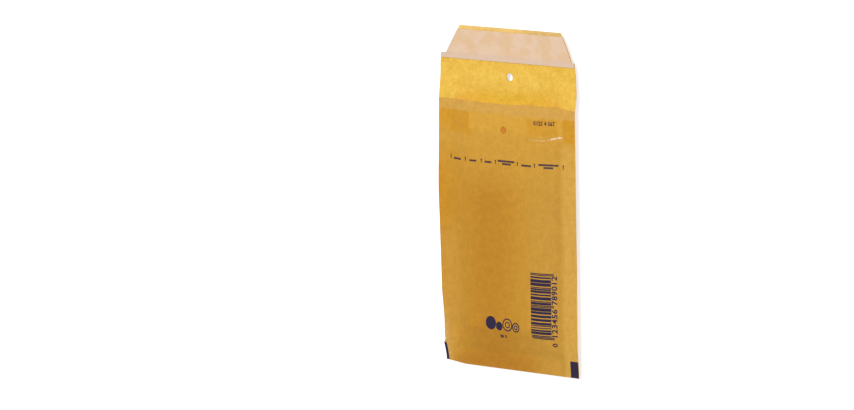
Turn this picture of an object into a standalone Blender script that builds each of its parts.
"""Padded paper mailer, open and lying on its back.

One kraft sheet is folded at the foot and glued along both sides, so that its front and back make a pouch
and the longer back runs on as the flap. A pouch of bubble film lines it. The flap carries a band of
adhesive under a release liner, and one punch has gone through flap, front and back for a paper fastener.

Metres. +X runs across, +Y from the foot towards the flap, +Z out of the side that the flap closes on. The
origin is on the surface that the mailer lies on, under the middle of its length and width.
"""

import math

import bmesh
import bpy
from mathutils.geometry import delaunay_2d_cdt

# Driving dimensions
POUCH_WIDTH = 0.120
POUCH_LENGTH = 0.175
FLAP_LENGTH = 0.050
SEAM_WIDTH = 0.010

PAPER = 0.0002
FILM = 0.00025
BUBBLE_HEIGHT = 0.0019
BUBBLE_DIAMETER = 0.0096
BUBBLE_TOP_DIAMETER = 0.0066
BUBBLE_PITCH = 0.0112
LAYER_GAP = 0.0003

# How far the pouch stands open, and over what distances it swells from its seams
POCKET_GAP = 0.0050
FRONT_SHARE = 0.57
SHOULDER = 0.010
ARCH_SIDE = 0.012
ARCH_RUN = 0.012
FOOT_DROOP = 0.0012
FOOT_DROOP_RUN = 0.022

# The foot's left corner curls back
CURL_DROP = 0.0012
CURL_PULL = 0.0012
CURL_WIDTH = 0.022
CURL_LENGTH = 0.020

# The lining stays inside the glued seams and is sealed round its own edge
LINING_INSET = 0.0035
LINING_SEAL = 0.0035
LINING_MOUTH_SETBACK = 0.0055

# The flap lies a little above the surface. Its die cut sits off centre, as in the photograph
FLAP_LIFT = 0.0031
FLAP_SETTLE = 0.020
FLAP_SHOULDER = 0.0302
LEFT_SHOULDER_STEP = 0.0052
RIGHT_SHOULDER_STEP = 0.0034
LEFT_TOP_INSET = 0.0186
RIGHT_TOP_INSET = 0.0122

LINER_START = 0.0272
LINER_WIDTH = 0.0200
LINER_THICKNESS = 0.00015
ADHESIVE_WIDTH = 0.0150
ADHESIVE_THICKNESS = 0.0002

PUNCH_DIAMETER = 0.0052
PUNCH_X = 0.0020
PUNCH_FROM_FOLD = 0.0170
FOLD_PAST_MOUTH = 0.0010

# Mesh fineness: close rows and columns where the pouch swells, wide ones where it runs straight
MARGIN_CELLS = 1
SIDE_CELLS = 8
MIDDLE_CELLS = 4
SHOULDER_CELLS = 4
RUN_CELLS = 5
STRAIGHT_CELLS = 6
FLAP_CELLS = 9
BUBBLE_SIDES = 8
PUNCH_SIDES = 24
SHARP_ANGLE = math.radians(30)

# Cutters reach this far past what they cut
CUTTER_REACH = 0.010

# Values that follow from the dimensions
HALF_WIDTH = POUCH_WIDTH / 2
PANEL_HALF = HALF_WIDTH - SEAM_WIDTH
LINING_HALF = PANEL_HALF - LINING_INSET
LINING_FOOT = SEAM_WIDTH + LINING_INSET
LINING_MOUTH = POUCH_LENGTH - LINING_MOUTH_SETBACK
POCKET_HALF = LINING_HALF - LINING_SEAL
POCKET_FOOT = LINING_FOOT + LINING_SEAL
TOTAL_LENGTH = POUCH_LENGTH + FLAP_LENGTH
FRONT_OPENING = POCKET_GAP * FRONT_SHARE
BACK_OPENING = POCKET_GAP - FRONT_OPENING
PADDING = FILM + BUBBLE_HEIGHT + LAYER_GAP
SEAM_LIFT = PAPER + PADDING + BACK_OPENING
FOLD = POUCH_LENGTH + FOLD_PAST_MOUTH
FRONT, BACK = 1, -1


def smooth(t):
    """0 up to t = 0, 1 from t = 1, and an even S between."""
    t = min(max(t, 0.0), 1.0)
    return t * t * (3 - 2 * t)


def mix(a, b, t):
    return a + (b - a) * t


def spread(start, end, cells):
    """Evenly spaced values from start to end, both included."""
    return [mix(start, end, i / cells) for i in range(cells + 1)]


def columns(half):
    """Distances across, from -half to half."""
    bend = POCKET_HALF - ARCH_SIDE
    left = spread(-half, -bend, SIDE_CELLS)
    return [*left, *spread(-bend, bend, MIDDLE_CELLS)[1:-1], *(-x for x in reversed(left))]


def stations(start, end):
    """Distances along, from the foot end to the mouth end."""
    shoulder = SEAM_WIDTH + SHOULDER
    run = POCKET_FOOT + ARCH_RUN
    near = spread(start, shoulder, SHOULDER_CELLS)
    return [*near, *spread(shoulder, run, RUN_CELLS)[1:], *spread(run, end, STRAIGHT_CELLS)[1:]]


def seam_height(along):
    """Height of the glued seams' middle. They sink towards the foot."""
    return SEAM_LIFT - FOOT_DROOP * smooth(1 - along / FOOT_DROOP_RUN)


def padding_share(x, along):
    """0 on the glued seams, 1 where the bubble film has its full thickness."""
    inside = min(PANEL_HALF - abs(x), along - SEAM_WIDTH)
    return smooth(inside / SHOULDER)


def opening(x, along, side):
    """Half of the pocket's open space, measured from the seams' middle to the lining's inner face."""
    across = smooth((POCKET_HALF - abs(x)) / ARCH_SIDE)
    length = smooth((along - POCKET_FOOT) / ARCH_RUN)
    return (FRONT_OPENING if side == FRONT else BACK_OPENING) * across * length


def paper_inside(x, along, side):
    """Distance from the seams' middle to the paper's inner face."""
    return PADDING * padding_share(x, along) + opening(x, along, side)


def bubble_top(x, along, side):
    """Distance from the seams' middle to the top of a bubble, which stays clear of the paper."""
    free = opening(x, along, side) + FILM + BUBBLE_HEIGHT
    return min(free, paper_inside(x, along, side) - LAYER_GAP)


def placed(x, along, distance, side):
    """The point at this distance from the seams' middle, with the curled corner, in the part's frame."""
    curl = smooth((CURL_WIDTH - HALF_WIDTH - x) / CURL_WIDTH) * smooth(1 - along / CURL_LENGTH)
    height = seam_height(along) + side * distance - CURL_DROP * curl
    return (x + CURL_PULL * curl, along - TOTAL_LENGTH / 2, height)


def flap_point(x, along, above):
    """A point above the flap's under face, which leaves the back panel's curve and settles level."""
    _, y, mouth = placed(x, POUCH_LENGTH, paper_inside(x, POUCH_LENGTH, BACK) + PAPER, BACK)
    settled = smooth((along - POUCH_LENGTH) / FLAP_SETTLE)
    return (x, along - TOTAL_LENGTH / 2, mix(mouth, FLAP_LIFT, settled) + above)


def material(name, colour, roughness, alpha=1.0):
    made = bpy.data.materials.new(name)
    made.use_nodes = True
    shader = made.node_tree.nodes["Principled BSDF"]
    shader.inputs["Base Color"].default_value = (*colour, 1.0)
    shader.inputs["Roughness"].default_value = roughness
    shader.inputs["Metallic"].default_value = 0.0
    shader.inputs["Alpha"].default_value = alpha
    return made


def finished(name, mesh_data, finish=None):
    """A bmesh as a named object, with its faces turned outwards."""
    bmesh.ops.recalc_face_normals(mesh_data, faces=mesh_data.faces)
    if mesh_data.calc_volume(signed=True) < 0:
        bmesh.ops.reverse_faces(mesh_data, faces=mesh_data.faces)
    mesh = bpy.data.meshes.new(name)
    mesh_data.to_mesh(mesh)
    mesh_data.free()
    made = bpy.data.objects.new(name, mesh)
    bpy.context.scene.collection.objects.link(made)
    if finish:
        mesh.materials.append(finish)
        mesh.shade_smooth()
        mesh.set_sharp_from_angle(angle=SHARP_ANGLE)
    return made


def helper(made):
    """Marks a cutter, which isn't part of the model."""
    made.hide_render = True
    made.display_type = "WIRE"
    return made


def cut(target, cutter):
    modifier = target.modifiers.new("cut_" + cutter.name, "BOOLEAN")
    modifier.operation = "DIFFERENCE"
    modifier.solver = "EXACT"
    modifier.object = cutter


def vertex_grid(mesh_data, xs, alongs, point):
    """Rows of new vertices, one row for each distance along, one vertex for each x."""
    return [[mesh_data.verts.new(point(x, along)) for x in xs] for along in alongs]


def skin(mesh_data, rows):
    """Quads between neighbouring rows."""
    for low, high in zip(rows, rows[1:]):
        for i in range(len(low) - 1):
            mesh_data.faces.new((low[i], low[i + 1], high[i + 1], high[i]))


def column(rows, index):
    return [row[index] for row in rows]


def envelope(finish):
    """The folded and glued sheet: outer and inner faces on one grid, joined round the mouth, seams and edges."""
    sheet = bmesh.new()
    inner_xs = columns(PANEL_HALF)
    left_margin = spread(-HALF_WIDTH, -PANEL_HALF, MARGIN_CELLS)[:-1]
    right_margin = [-x for x in reversed(left_margin)]
    xs = left_margin + inner_xs + right_margin
    inner_alongs = stations(SEAM_WIDTH, POUCH_LENGTH)
    alongs = [0.0, *inner_alongs]
    flap_alongs = spread(POUCH_LENGTH, TOTAL_LENGTH, FLAP_CELLS)[1:]

    def outside(side):
        return lambda x, along: placed(x, along, paper_inside(x, along, side) + PAPER, side)

    def inside(side):
        return lambda x, along: placed(x, along, paper_inside(x, along, side), side)

    front = vertex_grid(sheet, xs, alongs, outside(FRONT))
    back = vertex_grid(sheet, xs, alongs, outside(BACK))
    front_in = vertex_grid(sheet, inner_xs[1:-1], inner_alongs[1:], inside(FRONT))
    back_in = vertex_grid(sheet, inner_xs[1:-1], inner_alongs[1:], inside(BACK))

    # The two inner faces meet at the seams, so they share the vertices of that line
    seam_left = [sheet.verts.new(placed(-PANEL_HALF, along, 0, FRONT)) for along in inner_alongs]
    seam_right = [sheet.verts.new(placed(PANEL_HALF, along, 0, FRONT)) for along in inner_alongs]
    seam_foot = [sheet.verts.new(placed(x, SEAM_WIDTH, 0, FRONT)) for x in inner_xs[1:-1]]
    foot_row = [seam_left[0], *seam_foot, seam_right[0]]

    def with_seams(rows):
        closed = [[seam_left[i + 1], *row, seam_right[i + 1]] for i, row in enumerate(rows)]
        return [foot_row, *closed]

    front_in_rows = with_seams(front_in)
    back_in_rows = with_seams(back_in)

    # The cut sides and the folded foot have a middle line, on which the flap's upper face starts
    middle_left = [sheet.verts.new(placed(-HALF_WIDTH, along, 0, FRONT)) for along in alongs]
    middle_right = [sheet.verts.new(placed(HALF_WIDTH, along, 0, FRONT)) for along in alongs]
    middle_foot = [sheet.verts.new(placed(x, 0.0, 0, FRONT)) for x in xs[1:-1]]
    middle_foot = [middle_left[0], *middle_foot, middle_right[0]]

    # The flap: its under face goes on from the back, its upper face from the pocket's back wall
    margin_left = [sheet.verts.new(placed(x, POUCH_LENGTH, 0, FRONT)) for x in left_margin[1:]]
    margin_right = [sheet.verts.new(placed(x, POUCH_LENGTH, 0, FRONT)) for x in right_margin[:-1]]
    mouth_row = [middle_left[-1], *margin_left, *back_in_rows[-1], *margin_right, middle_right[-1]]
    flap_top = vertex_grid(sheet, xs, flap_alongs, lambda x, along: flap_point(x, along, PAPER))
    flap_under = vertex_grid(sheet, xs, flap_alongs, lambda x, along: flap_point(x, along, 0.0))
    flap_top = [mouth_row, *flap_top]
    flap_under = [back[-1], *flap_under]

    for rows in (front, back, front_in_rows, back_in_rows, flap_top, flap_under):
        skin(sheet, rows)
    for edge, middle in ((0, middle_left), (-1, middle_right)):
        skin(sheet, [column(front, edge), middle])
        skin(sheet, [middle, column(back, edge)])
        skin(sheet, [column(flap_top, edge), column(flap_under, edge)])
    skin(sheet, [front[0], middle_foot])
    skin(sheet, [middle_foot, back[0]])
    skin(sheet, [flap_top[-1], flap_under[-1]])

    # The mouth's edge: paper only over the pocket, down to the flap over the seams
    margins = len(left_margin)
    lip = [*mouth_row[:margins], *front_in_rows[-1], *mouth_row[len(xs) - margins :]]
    skin(sheet, [front[-1], lip])
    return finished("kraft_envelope", sheet, finish)


def ring(x, along, diameter, sides):
    """Points evenly round a circle, as (x, along)."""
    turn = 2 * math.pi / sides
    return [
        (x + diameter / 2 * math.cos(turn * i), along + diameter / 2 * math.sin(turn * i))
        for i in range(sides)
    ]


def bubble_centres():
    """Close-packed rows that fit inside the lining's sealed rim, centred across and along."""
    reach = LINING_HALF - LINING_SEAL - BUBBLE_DIAMETER / 2
    first = POCKET_FOOT + BUBBLE_DIAMETER / 2
    last = LINING_MOUTH - LINING_SEAL - BUBBLE_DIAMETER / 2
    row_pitch = BUBBLE_PITCH * math.sin(math.radians(60))
    rows = int((last - first) / row_pitch)
    start = (first + last - rows * row_pitch) / 2
    centres = []
    for row in range(rows + 1):
        shift = BUBBLE_PITCH / 2 if row % 2 else 0.0
        steps = range(-int(reach / BUBBLE_PITCH) - 1, int(reach / BUBBLE_PITCH) + 2)
        xs = [shift + BUBBLE_PITCH * step for step in steps]
        centres += [(x, start + row * row_pitch) for x in xs if abs(x) <= reach]
    return centres


def rim_points():
    """The lining's outline and a line inside it along the seal, as (x, along), close enough to follow the swell."""
    alongs = stations(LINING_FOOT, LINING_MOUTH)
    xs = columns(LINING_HALF)
    outline = [(x, LINING_FOOT) for x in xs[:-1]]
    outline += [(LINING_HALF, along) for along in alongs[:-1]]
    outline += [(-x, LINING_MOUTH) for x in xs[:-1]]
    outline += [(-LINING_HALF, along) for along in reversed(alongs[1:])]
    inner = [(side * POCKET_HALF, along) for side in (-1, 1) for along in alongs[1:-1]]
    inner += [(x, POCKET_FOOT) for x in xs[1:-1] if abs(x) < POCKET_HALF]
    return outline, inner


def lining_plan():
    """The flat film cut into triangles round its bubbles: points, the faces, and how many points are outline."""
    outline, points = rim_points()
    points = outline + points
    rim = len(outline)
    edges = [(i, (i + 1) % rim) for i in range(rim)]
    tops = set()
    for x, along in bubble_centres():
        for diameter in (BUBBLE_DIAMETER, BUBBLE_TOP_DIAMETER):
            first = len(points)
            points += ring(x, along, diameter, BUBBLE_SIDES)
            edges += [(first + i, first + (i + 1) % BUBBLE_SIDES) for i in range(BUBBLE_SIDES)]
        tops.update(range(first, first + BUBBLE_SIDES))
    constrained_inside = 1
    tolerance = 1e-6
    flat, _, faces, sources, _, _ = delaunay_2d_cdt(points, edges, [], constrained_inside, tolerance)
    on_top = [bool(tops.intersection(found)) for found in sources]
    on_rim = {found[0]: i for i, found in enumerate(sources) if found and found[0] < rim}
    return flat, faces, on_top, [on_rim[i] for i in range(rim)]


def lining(finish):
    """A pouch of bubble film: the smooth face inside, the bubbles towards the paper, sealed round its edge."""
    flat, faces, on_top, rim = lining_plan()
    film = bmesh.new()
    sides = []
    for side in (FRONT, BACK):
        layer = []
        for (x, along), top in zip(flat, on_top):
            distance = bubble_top(x, along, side) if top else opening(x, along, side) + FILM
            layer.append(film.verts.new(placed(x, along, distance, side)))
        for face in faces:
            film.faces.new([layer[i] for i in face])
        sides.append([layer[i] for i in rim])
    skin(film, [[*loop, loop[0]] for loop in sides])
    made = finished("bubble_lining", film, finish)
    cut(made, pocket())
    return made


def pocket():
    """The space inside the lining, run out past the mouth."""
    space = bmesh.new()
    past_mouth = POUCH_LENGTH + CUTTER_REACH
    xs = columns(POCKET_HALF)
    alongs = [*stations(POCKET_FOOT, LINING_MOUTH), past_mouth]
    foot = [space.verts.new(placed(x, POCKET_FOOT, 0, FRONT)) for x in xs]
    left = [space.verts.new(placed(-POCKET_HALF, along, 0, FRONT)) for along in alongs[1:]]
    right = [space.verts.new(placed(POCKET_HALF, along, 0, FRONT)) for along in alongs[1:]]
    ends = []
    for side in (FRONT, BACK):
        faces = vertex_grid(
            space,
            xs[1:-1],
            alongs[1:],
            lambda x, along: placed(x, along, opening(x, along, side), side),
        )
        rows = [foot] + [[left[i], *row, right[i]] for i, row in enumerate(faces)]
        skin(space, rows)
        ends.append(rows[-1])
    front_end, back_end = ends
    space.faces.new([*front_end, *reversed(back_end[1:-1])])
    return helper(finished("pocket_cutter", space))


def prism(name, outline, low, high):
    """An upright prism over an outline of (x, along) points."""
    solid = bmesh.new()
    floor = [solid.verts.new((x, along - TOTAL_LENGTH / 2, low)) for x, along in outline]
    face = solid.faces.new(floor)
    risen = bmesh.ops.extrude_face_region(solid, geom=[face])["geom"]
    for vertex in (v for v in risen if isinstance(v, bmesh.types.BMVert)):
        vertex.co.z = high
    return finished(name, solid)


def die_cutter(name, side, step, top_inset):
    """The offcut beside the flap: a square step at the shoulder, then a slanting edge to the tip."""
    shoulder = POUCH_LENGTH + FLAP_SHOULDER
    past_side = HALF_WIDTH + CUTTER_REACH
    past_tip = TOTAL_LENGTH + CUTTER_REACH
    slope = (top_inset - step) / (TOTAL_LENGTH - shoulder)
    outline = [
        (side * past_side, shoulder),
        (side * (HALF_WIDTH - step), shoulder),
        (side * (HALF_WIDTH - top_inset - slope * CUTTER_REACH), past_tip),
        (side * past_side, past_tip),
    ]
    return helper(prism(name, outline, FLAP_LIFT - CUTTER_REACH, FLAP_LIFT + CUTTER_REACH))


def punch_cutter(name, along):
    """A punch that goes through every layer here."""
    outline = ring(PUNCH_X, along, PUNCH_DIAMETER, PUNCH_SIDES)
    top = 2 * (PAPER + PADDING) + POCKET_GAP
    return helper(prism(name, outline, -CUTTER_REACH, top + CUTTER_REACH))


def flap_band(name, start, width, bottom, thickness, finish):
    """A flat band across the flap, from edge to edge."""
    outline = [(-HALF_WIDTH, start), (HALF_WIDTH, start), (HALF_WIDTH, start + width), (-HALF_WIDTH, start + width)]
    made = prism(name, outline, bottom, bottom + thickness)
    made.data.materials.append(finish)
    return made


def build():
    for old in list(bpy.data.objects):
        bpy.data.objects.remove(old)

    kraft = material("kraft_paper", (0.78, 0.57, 0.20), 0.75)
    film = material("bubble_film", (0.88, 0.88, 0.86), 0.25, alpha=0.5)
    glue = material("adhesive", (0.85, 0.80, 0.62), 0.35)
    silicone = material("release_liner", (0.88, 0.76, 0.64), 0.45)

    paper = envelope(kraft)
    bubbles = lining(film)

    left_die = die_cutter("left_die", -1, LEFT_SHOULDER_STEP, LEFT_TOP_INSET)
    right_die = die_cutter("right_die", 1, RIGHT_SHOULDER_STEP, RIGHT_TOP_INSET)
    pouch_punch = punch_cutter("pouch_punch", FOLD - PUNCH_FROM_FOLD)
    flap_punch = punch_cutter("flap_punch", FOLD + PUNCH_FROM_FOLD)
    for cutter in (left_die, right_die, pouch_punch, flap_punch):
        cut(paper, cutter)
    cut(bubbles, pouch_punch)

    liner_start = POUCH_LENGTH + LINER_START
    adhesive_start = liner_start + (LINER_WIDTH - ADHESIVE_WIDTH) / 2
    adhesive_bottom = FLAP_LIFT + PAPER + LAYER_GAP
    liner_bottom = adhesive_bottom + ADHESIVE_THICKNESS + LAYER_GAP
    adhesive = flap_band(
        "adhesive_strip", adhesive_start, ADHESIVE_WIDTH, adhesive_bottom, ADHESIVE_THICKNESS, glue
    )
    liner = flap_band("release_liner", liner_start, LINER_WIDTH, liner_bottom, LINER_THICKNESS, silicone)
    for band in (adhesive, liner):
        cut(band, left_die)
        cut(band, right_die)


build()
